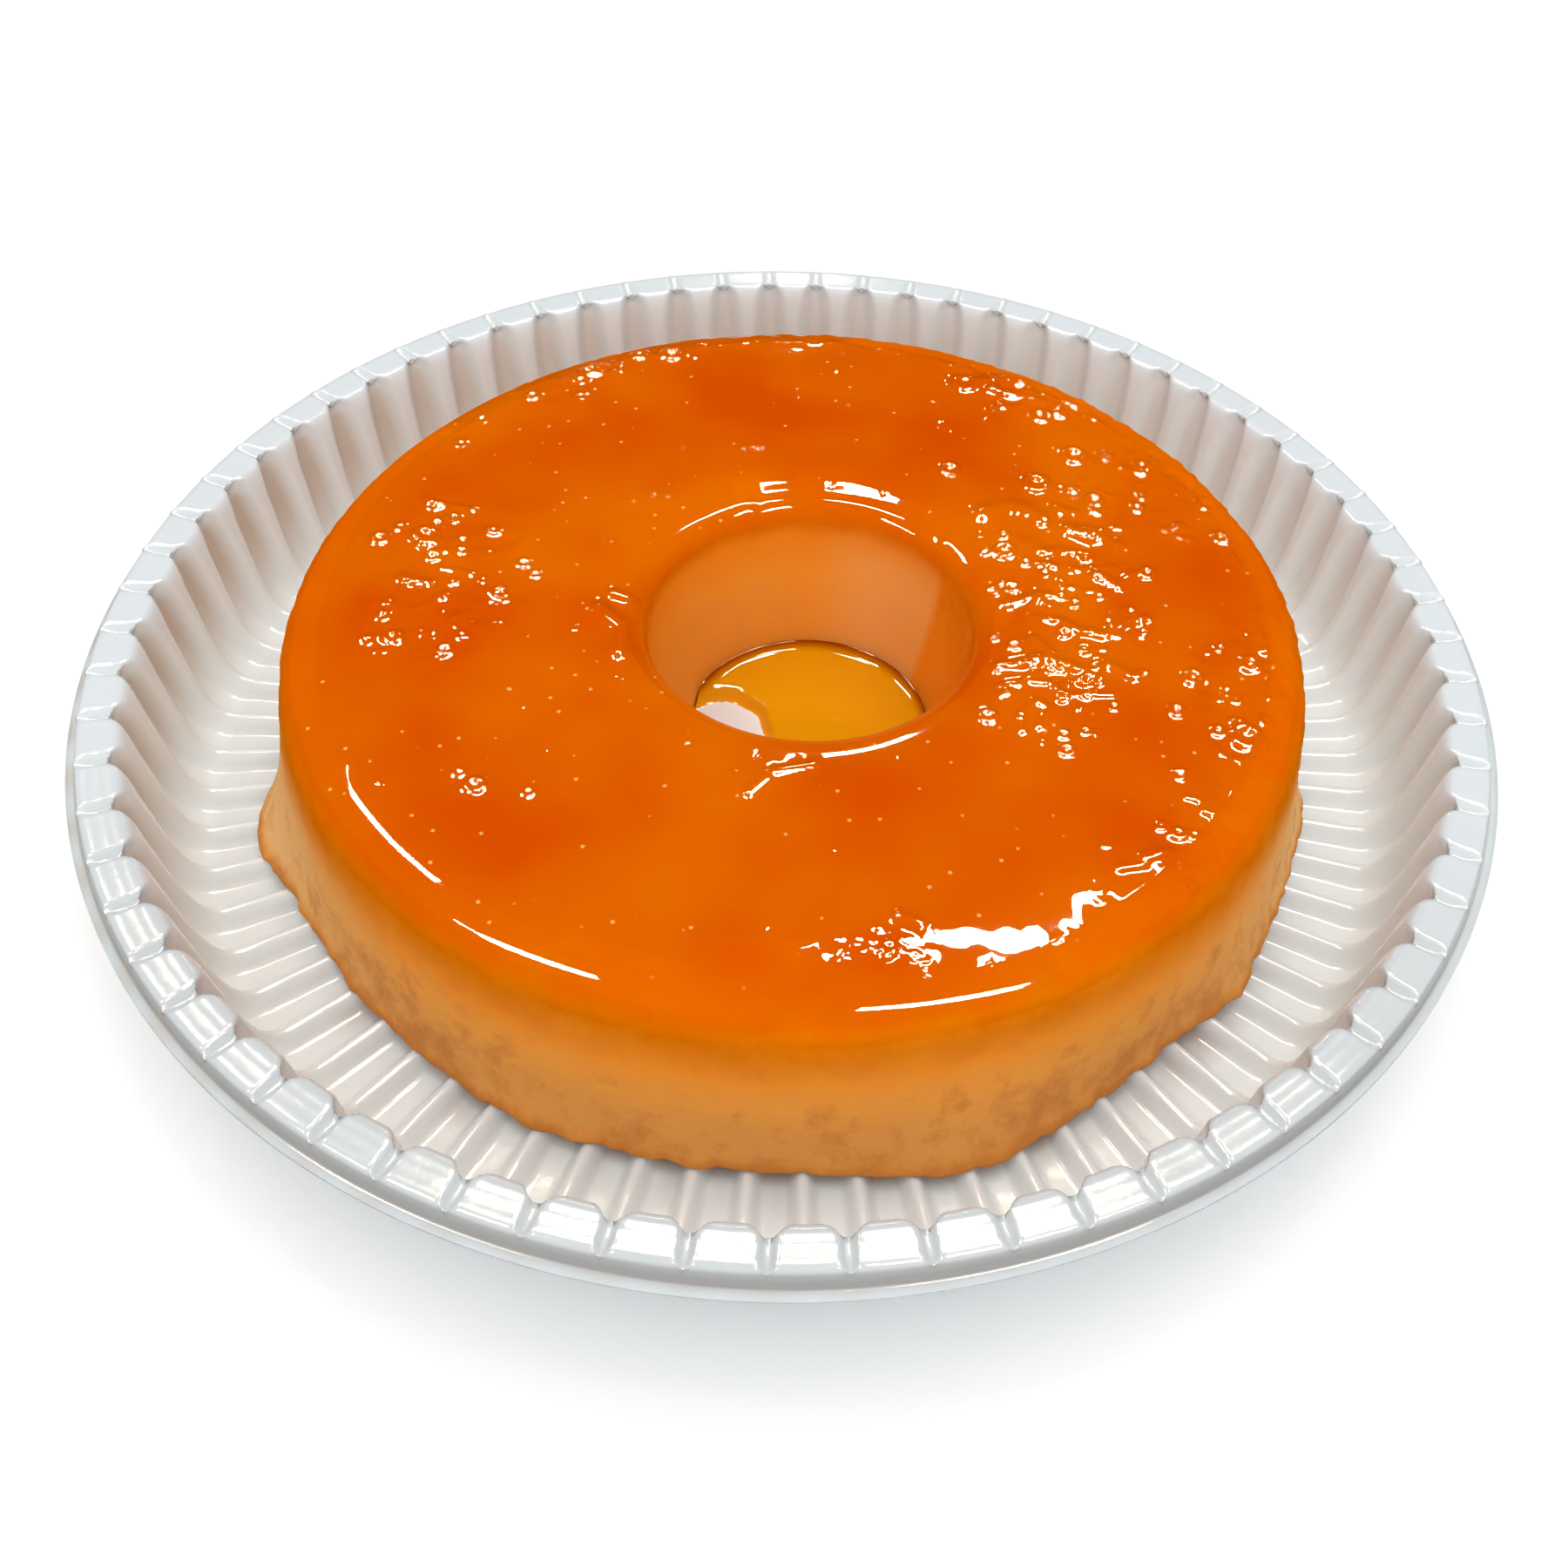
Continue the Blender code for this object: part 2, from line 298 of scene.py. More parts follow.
@dataclass(frozen=True)
class CaramelCustard:
    """Baked egg custard, turned out of a caramel mould.

    The flesh is tan and matt, with fine pores and brown crumbs near the foot, and a painted sheen lightens
    its side at the left and the right. Caramel has stained the top deep orange, in soft clouds, and stands
    on it as a clear wet coat with tiny bubbles trapped in it.
    """

    deep: str = "D04400"
    amber: str = "DE6600"
    edge: str = "DC7000"
    upper: str = "EC8A1C"
    flesh: str = "EA9630"
    foot: str = "DA9044"
    sheen_cream: str = "F2C68A"
    crumb: str = "B8703C"
    bead: str = "FFC070"
    cloud_mm: float = 30.0
    mottle_mm: float = 5.0
    pore_mm: float = 1.3
    pore_depth_mm: float = 0.10
    foam_mm: float = 1.5
    foam_depth_mm: float = 0.14
    bead_spacing_mm: float = 3.6
    roughness: float = 0.5
    ior: float = 1.42
    coat_roughness: float = 0.02
    coat_ior: float = 1.48

    def material(self) -> bpy.types.Material:
        """Make the finish.

        Returns:
            The material.
        """
        material, tree, shader = new_material("custard_baked_caramel_stained")
        place = add_node(tree, "ShaderNodeTexCoord").outputs["Object"]
        stain, froth, pale, browned, wet = (
            add_node(tree, "ShaderNodeAttribute", attribute_name=name).outputs["Fac"]
            for name in ("caramel", "froth", "pale", "browned", "wet"))
        cloud, mottle, pores, foam = (
            add_node(tree, "ShaderNodeTexNoise", {
                "Vector": place, "Scale": 1.0 / (size * MM), "Detail": detail,
                "Roughness": rough}).outputs["Fac"]
            for size, detail, rough in (
                (self.cloud_mm, 2.0, 0.5), (self.mottle_mm, 4.0, 0.65), (self.pore_mm, 1.0, 0.5),
                (self.foam_mm, 1.0, 0.5)))

        # The sides: the stain runs down them and fades, and the mottling moves its edge about.
        shifted = add_node(tree, "ShaderNodeMath", {0: mottle, 1: 0.30, 2: -0.15}, operation="MULTIPLY_ADD")
        moved = add_node(tree, "ShaderNodeMath", {0: stain, 1: shifted.outputs[0]}, operation="ADD")
        body = add_node(tree, "ShaderNodeValToRGB", {"Fac": moved.outputs[0]}, stops=(
            (0.02, linear(self.foot)), (0.30, linear(self.flesh)), (0.62, linear(self.upper)),
            (0.85, linear(self.edge)), (0.95, linear(self.amber))))
        # A painted sheen lightens the side at the left and the right, and the hole's lower wall at the back
        # right.
        sheened = add_node(tree, "ShaderNodeMix", {
            FACTOR: pale, UNDER: body.outputs[0], OVER: linear(self.sheen_cream)}, data_type="RGBA")
        specks = add_node(tree, "ShaderNodeMath", {
            0: browned, 1: 0.5, 2: mottle}, operation="MULTIPLY_ADD")
        crumbed = add_node(tree, "ShaderNodeMapRange", {
            "Value": specks.outputs[0], FROM_LOW: 0.56, FROM_HIGH: 0.80, TO_LOW: 0.0, TO_HIGH: 0.62})
        baked = add_node(tree, "ShaderNodeMapRange", {"Value": browned, FROM_LOW: 0.0, FROM_HIGH: 0.06})
        crumbs = add_node(tree, "ShaderNodeMath", {
            0: crumbed.outputs[0], 1: baked.outputs[0]}, operation="MULTIPLY")
        side = add_node(tree, "ShaderNodeMix", {
            FACTOR: crumbs.outputs[0], UNDER: sheened.outputs[MIXED], OVER: linear(self.crumb)},
            data_type="RGBA")

        # The top: deeper clouds in the stain, deeper again under froth, then the trapped bubbles.
        clouded = add_node(tree, "ShaderNodeMapRange", {
            "Value": cloud, FROM_LOW: 0.35, FROM_HIGH: 0.68, TO_LOW: 0.0, TO_HIGH: 0.8})
        deeper = add_node(tree, "ShaderNodeMath", {
            0: froth, 1: 0.20, 2: clouded.outputs[0]}, operation="MULTIPLY_ADD", use_clamp=True)
        topped = add_node(tree, "ShaderNodeMapRange", {"Value": stain, FROM_LOW: 0.88, FROM_HIGH: 1.0})
        both = add_node(tree, "ShaderNodeMath", {
            0: deeper.outputs[0], 1: topped.outputs[0]}, operation="MULTIPLY")
        stained = add_node(tree, "ShaderNodeMix", {
            FACTOR: both.outputs[0], UNDER: side.outputs[MIXED], OVER: linear(self.deep)},
            data_type="RGBA")
        fizz = add_node(tree, "ShaderNodeTexVoronoi", {
            "Vector": place, "Scale": 1.0 / (self.bead_spacing_mm * MM)})
        dot = add_node(tree, "ShaderNodeMapRange", {
            "Value": fizz.outputs["Distance"], FROM_LOW: 0.05, FROM_HIGH: 0.10, TO_LOW: 0.75,
            TO_HIGH: 0.0})
        shown = add_node(tree, "ShaderNodeMath", {0: wet, 1: dot.outputs[0]}, operation="MULTIPLY")
        beaded = add_node(tree, "ShaderNodeMix", {
            FACTOR: shown.outputs[0], UNDER: stained.outputs[MIXED], OVER: linear(self.bead)},
            data_type="RGBA")

        # The relief: pores where the side is dry, and foam where the top is frothy.
        dry = add_node(tree, "ShaderNodeMapRange", {
            "Value": stain, FROM_LOW: 0.6, FROM_HIGH: 0.9, TO_LOW: 0.35, TO_HIGH: 0.0})
        pitted = add_node(tree, "ShaderNodeBump", {
            "Height": pores, "Distance": self.pore_depth_mm * MM, "Strength": dry.outputs[0]})
        foamy = add_node(tree, "ShaderNodeBump", {
            "Height": foam, "Distance": self.foam_depth_mm * MM, "Strength": froth,
            "Normal": pitted.outputs[0]})
        tree.links.new(beaded.outputs[MIXED], shader.inputs["Base Color"])
        tree.links.new(wet, shader.inputs["Coat Weight"])
        tree.links.new(foamy.outputs[0], shader.inputs["Normal"])
        shader.inputs["Roughness"].default_value = self.roughness
        shader.inputs["IOR"].default_value = self.ior
        # All the gloss is the coat's: the flesh under it is matt.
        shader.inputs["Specular IOR Level"].default_value = 0.0
        shader.inputs["Coat Roughness"].default_value = self.coat_roughness
        shader.inputs["Coat IOR"].default_value = self.coat_ior
        return material


@dataclass(frozen=True)
class AmberSyrup:
    """Boiled sugar syrup, run out of the mould: smooth and wet, amber, browner where it stands deep."""

    shallow: str = "E89C1C"
    middle: str = "DC9400"
    deep: str = "9A3400"
    roughness: float = 0.04
    ior: float = 1.40

    def material(self) -> bpy.types.Material:
        """Make the finish, whose colour follows how deep the syrup stands.

        Returns:
            The material.
        """
        material, tree, shader = new_material("sugar_syrup_poured")
        depth = add_node(tree, "ShaderNodeAttribute", attribute_name="depth").outputs["Fac"]
        colour = add_node(tree, "ShaderNodeValToRGB", {"Fac": depth}, stops=(
            (0.1, linear(self.shallow)), (0.5, linear(self.middle)), (0.95, linear(self.deep))))
        tree.links.new(colour.outputs[0], shader.inputs["Base Color"])
        shader.inputs["Roughness"].default_value = self.roughness
        shader.inputs["IOR"].default_value = self.ior
        return material


@dataclass
class FlutedPlate:
    """The plate: a flange, a rim of flat pads, a fluted wall and floor, and a plain middle.

    The tables run inwards along the upper face, as (radius, height over the rim). A pad whose height is
    1 stands one ridge lift over the rim. A wall row is a station: the ridge of a flute, its valley, and
    the shares of the half pitch where the ridge ends and where the valley starts. The marks are where a
    half pitch is cut, from its ridge at 0 to its valley at 1. The shades say how strongly painted shade
    falls on the pads, the valleys and the floor, and the foot shadow strength how strongly a painted
    contact shadow falls in front of the pudding's foot, each from 0 to 1.
    """

    flutes: int = 70
    sheet: float = 0.8
    rim_height: float = 25.5
    groove: float = 1.2
    ridge_lift: float = 0.02
    marks: tuple[float, ...] = (0.0, 0.08, 0.17, 0.26, 0.36, 0.46, 0.56, 0.66, 0.76, 0.85, 0.93, 1.0)
    flange: tuple[Point, ...] = (
        (105.0, -2.8), (104.0, -2.8), (103.75, -2.7), (103.45, -1.8), (103.2, -0.7))
    pads: tuple[Point, ...] = (
        (103.0, -0.15), (102.7, 0.0), (102.0, 0.0), (101.7, 1.0), (101.4, 0.0), (100.2, 0.0),
        (99.9, 1.0), (99.6, 0.0), (98.9, 0.0), (98.6, 1.0), (98.3, 0.0))
    wall: tuple[Station, ...] = (
        ((97.7, -0.1), (99.6, -1.3), 0.60, 0.98), ((97.3, -0.35), (99.2, -1.8), 0.50, 0.96),
        ((96.9, -0.9), (98.9, -2.5), 0.40, 0.94), ((96.5, -2.0), (98.65, -3.4), 0.30, 0.91),
        ((96.2, -3.5), (98.4, -4.8), 0.22, 0.87), ((95.8, -6.0), (98.1, -7.2), 0.16, 0.81),
        ((95.3, -9.0), (97.6, -10.3), 0.15, 0.74), ((94.8, -12.5), (97.1, -13.8), 0.11, 0.70),
        ((94.1, -16.0), (96.4, -17.6), 0.09, 0.66), ((93.5, -18.3), (95.6, -20.4), 0.08, 0.64),
        ((92.8, -20.1), (94.6, -22.2), 0.07, 0.62), ((91.8, -21.4), (93.1, -23.7), 0.06, 0.62),
        ((90.6, -22.15), (91.4, -24.5), 0.06, 0.62), ((89.2, -22.4), (89.6, -24.7), 0.06, 0.62),
        ((85.0, -22.4), (85.0, -24.7), 0.06, 0.62), ((80.0, -22.4), (80.0, -24.7), 0.06, 0.62),
        ((74.0, -22.4), (74.0, -24.7), 0.08, 0.64), ((69.0, -22.4), (69.0, -24.7), 0.10, 0.66),
        ((68.0, -22.6), (68.0, -24.7), 0.10, 0.66), ((66.6, -23.6), (66.6, -24.7), 0.10, 0.66))
    middle: tuple[Point, ...] = (
        (65.3, -24.6), (64.5, -24.7), (60.3, -24.7), (59.6, -24.4), (58.0, -22.7), (57.2, -22.4),
        (30.0, -22.4), (0.0, -22.4))
    pad_shade: float = 0.44
    valley_shade: float = 0.8
    floor_shade: float = 0.14
    foot_shadow_strength: float = 0.62
    foot_shadow_centre: Point = (0.2, 0.7)
    foot_shadow_reach: float = 80.0

    def stations(self) -> list[Station]:
        """List the upper face's stations from the flange to the middle.

        Returns:
            A station for each row of the tables.
        """
        rows = [(place, place, 0.0, 1.0) for place in self.flange]
        for radius, lift in self.pads:
            height = lift * self.ridge_lift if lift > 0.0 else lift
            sunk = -self.groove * (0.30 + 0.70 * smooth(103.2, 100.6, radius))
            pad = 0.68 + 0.09 * smooth(98.2, 99.6, radius)
            rows.append(((radius, height), (radius + 0.4, sunk), pad, 0.98))
        rows += self.wall
        rows += [(place, place, 0.0, 1.0) for place in self.middle]
        return rows

    def under(self, points: list[Point]) -> list[Point]:
        """Follow a profile at one sheet thickness below it.

        Args:
            points: the profile, running inwards to the axis.

        Returns:
            The line below it, with a point for each of its own.
        """
        below = []
        for index, (radius, height) in enumerate(points):
            before, after = points[max(index - 1, 0)], points[min(index + 1, len(points) - 1)]
            run = Vector((after[0] - before[0], after[1] - before[1])).normalized()
            below.append((radius - run.y * self.sheet, height + run.x * self.sheet))
        below[0] = (points[0][0], points[0][1] - self.sheet)
        below[-1] = (0.0, points[-1][1] - self.sheet)
        return below

    def build(self, finish: Polystyrene) -> bpy.types.Object:
        """Make one flute and turn it round the plate.

        Args:
            finish: the plate's finish.

        Returns:
            The plate.
        """
        bm = bmesh.new()
        self.press_flute(bm)
        bmesh.ops.spin(bm, geom=bm.verts[:] + bm.edges[:] + bm.faces[:], cent=(0, 0, 0), axis=(0, 0, 1),
                       dvec=(0, 0, 0), angle=math.tau * (1.0 - 1.0 / self.flutes),
                       steps=self.flutes - 1, use_duplicate=True)
        bmesh.ops.remove_doubles(bm, verts=bm.verts, dist=WELD)
        self.paint_shade(bm)
        bmesh.ops.recalc_face_normals(bm, faces=bm.faces)
        return finish_piece("plate", bm, finish.material(), ("plate",))

    def press_flute(self, bm: bmesh.types.BMesh) -> None:
        """Make one flute, from the middle of one valley to the middle of the next.

        The valley's profile is turned through one pitch, and each of its points is then moved towards
        the ridge's profile. The underside keeps only some of the stations.

        Args:
            bm: the empty mesh to make it in.
        """
        rows = self.stations()
        kept = [index for index in range(len(rows)) if index % 3 == 0 or index in (1, 5, len(rows) - 1)]
        loops = []
        for line in ([row[0] for row in rows], [row[1] for row in rows]):
            below = self.under(line)
            loops.append(line[::-1] + [below[index] for index in kept])
        ridge_loop, valley_loop = loops
        share_loop = [row[2:] for row in rows[::-1]] + [rows[index][2:] for index in kept]

        pitch = math.tau / self.flutes
        marks = [-0.5 * mark for mark in self.marks[::-1]] + [0.5 * mark for mark in self.marks[1:]]
        steps = len(marks) - 1
        station_of = bm.verts.layers.int.new("station")
        skirt_and_pad_shade = bm.verts.layers.float.new("skirt_and_pad_shade")
        recess_shade = bm.verts.layers.float.new("recess_shade")
        for index, vert in enumerate(open_line(bm, valley_loop)):
            vert[station_of] = index
        bmesh.ops.spin(bm, geom=bm.verts[:] + bm.edges[:], cent=(0, 0, 0), axis=(0, 0, 1), dvec=(0, 0, 0),
                       angle=pitch, steps=steps, use_duplicate=False, use_merge=False)
        for vert in bm.verts:
            index = vert[station_of]
            mark = marks[round(steps * math.atan2(vert.co.y, vert.co.x) / pitch)]
            low, high = share_loop[index]
            crest = 1.0 - smooth(low, high, 2.0 * abs(mark))
            (r_low, z_low), (r_high, z_high) = valley_loop[index], ridge_loop[index]
            radius = r_low + (r_high - r_low) * crest
            fall = -(z_low + (z_high - z_low) * crest)
            azimuth = pitch * (0.5 + mark)
            vert.co = (radius * math.cos(azimuth) * MM, radius * math.sin(azimuth) * MM,
                       (self.rim_height - fall) * MM)
            # Painted shade darkens the skirt band and the pads on the rim.
            edge = smooth(102.9, 103.3, radius) * (1.0 - 0.85 * smooth(103.8, 104.2, radius))
            pad = self.pad_shade * smooth(96.3, 97.8, radius) * (1.0 - smooth(1.0, 3.0, fall))
            vert[skirt_and_pad_shade] = max(edge, pad)
            # Painted shade warms and darkens the deep valleys of the wall.
            vert[recess_shade] = (self.valley_shade * (1.0 - crest) * smooth(1.5, 3.5, fall)
                            * (1.0 - smooth(9.0, 22.0, fall)))
        bmesh.ops.remove_doubles(bm, verts=bm.verts, dist=WELD)

    def paint_shade(self, bm: bmesh.types.BMesh) -> None:
        """Set how strongly painted shade falls on each side of the plate, and paint a warm contact shadow in
        front of the pudding's foot. Fit the tints to each side of the plate.

        Args:
            bm: the whole plate.
        """
        foot_shadow = bm.verts.layers.float.new("foot_shadow")
        recess_shade, skirt_and_pad_shade = bm.verts.layers.float["recess_shade"], bm.verts.layers.float["skirt_and_pad_shade"]
        for vert in bm.verts:
            x, y, z = vert.co / MM
            azimuth = math.degrees(math.atan2(y, x))
            reach = math.hypot(x, y)
            left = bell(azimuth, 180.0, 65.0)
            # Painted shade: the recesses are shaded most at the left.
            vert[recess_shade] *= 0.08 + 0.85 * left
            # Painted shade: the skirt is darkest in front.
            vert[skirt_and_pad_shade] *= 0.45 + 0.55 * smooth(-0.2, -0.7, math.sin(math.radians(azimuth)))
            # Painted shade on the middle under the hole and on the floor by the foot at the left.
            if reach < 30.5:
                vert[recess_shade] = self.floor_shade
            elif 69.0 < reach < 90.0 and z < 2.0:
                vert[recess_shade] += self.floor_shade * left
            # A painted contact shadow, strongest low in the valleys, in front of the pudding's foot.
            dx, dy = x - self.foot_shadow_centre[0], y - self.foot_shadow_centre[1]
            away = math.hypot(dx, dy) - self.foot_shadow_reach
            if -20.0 < away < 10.0 and z < 4.5:
                front = within(math.degrees(math.atan2(dy, dx)), -88.0, 45.0, 30.0)
                beyond = smooth(-0.6, 1.1, away - 0.8 * ripple(dx, dy, 5.0, 1.7))
                low = 1.0 - 0.8 * smooth(0.9, 2.8, z)
                vert[foot_shadow] = self.foot_shadow_strength * front * low * (1.0 - beyond)


@dataclass(frozen=True)
class Rough:
    """A patch of the caramel film that froth and wrinkles have roughened."""

    centre: Point
    size: Point
    turn: float
    height: float
    grain: float

    def share(self, x: float, y: float) -> float:
        """Say how fully a point lies in the patch.

        Args:
            x: the point's place to the right.
            y: its place to the back.

        Returns:
            The share, from 0 to 1.
        """
        angle = math.radians(self.turn)
        dx, dy = x - self.centre[0], y - self.centre[1]
        along_x = (dx * math.cos(angle) + dy * math.sin(angle)) / self.size[0]
        along_y = (dy * math.cos(angle) - dx * math.sin(angle)) / self.size[1]
        return 1.0 - smooth(0.55, 1.15, math.hypot(along_x, along_y))


@dataclass(frozen=True)
class Fold:
    """A soft fold in the caramel film, drawn along a line in plan."""

    line: tuple[Point, ...]
    width: float = 1.1
    steep: float = 0.42

    def pleats(self) -> list[Pleat]:
        """Return the fold's straight pieces, each with its width and height."""
        return [(start, end, self.width, self.steep * self.width)
                for start, end in zip(self.line, self.line[1:])]


@dataclass
class PuddingRing:
    """The pudding: a ring with a worn inner lip, a rounded shoulder and a ragged foot.

    The lip and shoulder tables are (radius, tilt in degrees) rows. The marks are the radii where the
    section has a point, and side is its outer face down to the foot. A bulge is (azimuth, reach, width
    in degrees), and a window is (azimuth, half width, soft edge) in degrees. A ring is a large bubble:
    its place and size. Swell, worn and band are (height, grain) of the unevenness of the top, of its
    back edge and of its front edge.
    """

    bottom: float = 3.4
    top: float = 31.0
    hole_foot: float = 19.3
    hole_top: float = 24.6
    lip: tuple[Point, ...] = (
        (24.6, 84.0), (25.0, 60.0), (26.0, 27.0), (27.3, 24.0), (27.45, 13.0), (29.1, 13.0), (29.6, 19.5),
        (31.3, 16.0), (33.2, 5.0), (36.0, 0.0))
    lip_plain: tuple[Point, ...] = (
        (24.6, 84.0), (25.0, 60.0), (26.0, 33.0), (27.5, 25.0), (27.7, 12.0), (32.5, 8.0), (36.0, 0.0))
    shoulder: tuple[Point, ...] = (
        (61.0, 0.0), (64.0, 7.5), (67.6, 11.0), (71.3, 14.0), (73.5, 21.0), (75.0, 42.0), (75.7, 68.0),
        (76.0, 82.0))
    shoulder_left: tuple[Point, ...] = (
        (61.0, 0.0), (69.0, 2.5), (70.2, 9.5), (72.4, 15.0), (73.5, 21.0), (73.9, 38.0), (75.0, 50.0),
        (75.7, 68.0), (76.0, 82.0))
    shoulder_plain: tuple[Point, ...] = (
        (61.0, 0.0), (69.2, 1.2), (69.4, 12.5), (71.3, 14.0), (73.5, 21.0), (73.9, 38.0), (75.0, 50.0),
        (75.7, 68.0), (76.0, 82.0))
    tilt_step: float = 0.1
    steepest: float = 84.0
    wall_steps: int = 16
    wall_bow: float = 0.48
    lip_marks: tuple[float, ...] = (
        24.7, 24.9, 25.2, 25.6, 26.0, 26.5, 27.0, 27.3, 27.45, 27.6, 27.75, 28.6, 29.1, 29.6, 30.4, 31.6,
        32.8, 34.0, 35.0, 36.0)
    shoulder_marks: tuple[float, ...] = (
        69.15, 69.3, 69.45, 70.2, 71.0, 71.8, 72.4, 73.0, 73.5, 73.7, 74.0, 74.3, 74.7, 75.1, 75.4, 75.65,
        75.85, 76.0)
    side: tuple[Point, ...] = (
        (76.6, 23.0), (76.9, 21.0), (77.15, 19.0), (77.4, 17.0), (77.65, 15.0), (77.9, 13.0), (78.2, 11.0),
        (78.55, 9.2), (78.9, 7.6), (79.25, 6.4), (79.55, 5.4), (79.85, 4.7), (80.1, 4.2), (80.15, 3.8),
        (79.9, 3.5), (79.3, 3.4))
    underside_mark: float = 50.0
    steps: int = 360
    film_start: float = 26.0
    film_end: float = 74.3
    shift: Point = (0.2, 0.7)
    hole_shift: Point = (1.8, 0.0)
    bulges: tuple[Bulge, ...] = (
        (-159.0, 4.2, 8.0), (-113.0, 0.7, 6.0), (-92.0, -0.4, 10.0), (-69.0, 2.6, 9.0),
        (-46.0, -0.9, 7.0), (-34.0, 1.5, 5.0), (-7.0, 0.9, 9.0))
    # From the right of the hole to the back right, the right, the left, the back left, the right edge,
    # the front, and the two that carry it on towards the right edge.
    patches: tuple[Rough, ...] = (
        Rough((38.0, 4.0), (14.0, 29.0), 8.0, 0.28, 3.4),
        Rough((31.0, 56.0), (15.0, 8.0), -25.0, 0.26, 2.8),
        Rough((52.0, 32.0), (12.0, 12.0), 0.0, 0.14, 2.8),
        Rough((-54.0, 0.0), (13.0, 21.0), 0.0, 0.26, 2.4),
        Rough((-44.0, 53.0), (13.0, 6.0), 41.0, 0.32, 2.2),
        Rough((64.0, -12.0), (8.0, 18.0), 0.0, 0.26, 2.4),
        Rough((14.0, -63.0), (8.0, 4.0), 10.0, 0.09, 2.0),
        Rough((43.5, -49.0), (3.0, 6.0), -10.0, 0.16, 2.0),
        Rough((56.0, -40.0), (6.0, 12.0), -35.0, 0.22, 2.4),
    )
    # The large folds: right of the hole, then behind and left of it, in front of it and near the edge.
    folds: tuple[Fold, ...] = (
        Fold(((29.0, 4.0), (34.0, 5.5), (32.5, 1.5), (37.0, 0.0), (41.0, -2.0), (44.0, -2.5), (48.0, 0.5),
              (51.0, 2.0))),
        Fold(((28.0, -9.5), (33.0, -9.5), (35.5, -6.5), (33.0, -4.0))),
        Fold(((35.5, -8.0), (39.0, -9.5), (42.5, -11.0), (44.0, -8.5), (48.5, -11.0))),
        Fold(((31.5, -23.0), (31.0, -20.0), (33.5, -17.0), (36.0, -18.5), (34.0, -22.0)), 0.8),
        Fold(((28.0, -14.0), (31.5, -13.0), (35.5, -13.0), (37.5, -15.5), (45.0, -15.0)), 0.7),
        Fold(((25.5, 24.5), (30.5, 27.0), (35.0, 24.0)), 2.0, 0.33),
        Fold(((39.5, 21.5), (43.5, 21.0), (47.5, 18.5)), 1.6, 0.34),
        Fold(((44.0, 11.0), (47.0, 9.0), (50.0, 11.5)), 1.2),
        Fold(((38.0, 27.0), (41.0, 26.0)), 1.0),
        Fold(((-60.0, 17.5), (-56.5, 16.8), (-53.0, 16.5)), 0.8),
        Fold(((-59.5, -0.5), (-56.0, -1.5)), 1.1),
        Fold(((-54.5, 2.5), (-50.5, 1.5)), 0.7),
        Fold(((-31.0, -3.5), (-27.0, -6.5), (-26.8, -12.0)), 1.6, 0.5),
        Fold(((-29.5, 0.5), (-25.5, 0.0)), 1.1, 0.5),
        Fold(((3.0, -31.8), (-3.0, -34.0), (-5.5, -38.0)), 0.8),
        Fold(((48.5, -45.5), (52.0, -44.0)), 1.0),
        Fold(((16.5, -57.5), (19.5, -58.5)), 0.9),
    )
    # The large bubbles: the back right, the right, then the left, the front left and the back left.
    rings: tuple[Spot, ...] = (
        (32.0, 59.5, 3.4), (24.0, 59.5, 2.2), (37.0, 51.5, 1.6), (43.5, 56.5, 1.9), (42.0, 41.0, 2.0),
        (35.0, 33.0, 2.1), (44.5, 29.5, 1.5), (20.5, 35.5, 1.5), (29.0, 16.0, 1.6), (42.0, 15.5, 1.3),
        (52.0, 12.3, 1.3), (26.5, -20.5, 1.3), (38.0, -26.5, 1.1), (57.5, -10.5, 1.5), (54.5, -17.5, 1.2),
        (64.5, -22.0, 2.2), (65.0, 22.0, 1.3), (63.5, 30.5, 1.7), (66.5, -7.0, 1.5), (53.5, 39.5, 1.2),
        (-58.5, 9.5, 2.0), (-65.0, 8.0, 1.3), (-58.0, -13.5, 1.2), (-40.5, -40.5, 1.3), (-43.0, -38.5, 0.8),
        (-44.5, -34.5, 0.6), (-52.5, -41.0, 0.6), (-33.5, -41.0, 0.8), (-49.0, 47.5, 1.2), (-56.0, 40.0, 1.0),
        (-41.0, 56.0, 1.4), (-33.0, 62.0, 1.5), (-27.5, 62.5, 1.8), (-22.0, 66.0, 1.2), (-58.0, 33.0, 1.0),
    )
    wet_shoulders: tuple[Window, ...] = ((-131.0, 24.0, 2.0), (-71.5, 11.2, 1.0), (118.0, 28.0, 4.0))
    dry_lips: tuple[Window, ...] = ((95.5, 2.2, 1.0), (113.5, 4.2, 1.0))
    swell: Point = (0.05, 17.0)
    worn: Point = (0.40, 1.9)
    band: Point = (0.045, 1.1)
    clump: float = 8.0
    bubbles: int = 220
    strays: int = 110
    wrinkles: int = 44
    wrinkle_step: float = 1.3
    cell: float = 4.0
    seed: int = 11
    tallest: float = 0.75
    spots: list[Spot] = field(default_factory=list, init=False)
    pleats: list[Pleat] = field(default_factory=list, init=False)
    cells: dict[tuple[int, int], tuple[list[Spot], list[Pleat]]] = field(default_factory=dict, init=False)
    lip_drops: list[list[float]] = field(default_factory=list, init=False)
    shoulder_drops: list[list[float]] = field(default_factory=list, init=False)

    def __post_init__(self) -> None:
        """Work out how far the lip and the shoulder drop."""
        self.lip_drops = [self.drop(table, -1.0) for table in (self.lip_plain, self.lip)]
        self.shoulder_drops = [self.drop(table, 1.0) for table in (
            self.shoulder_plain, self.shoulder, self.shoulder_left)]

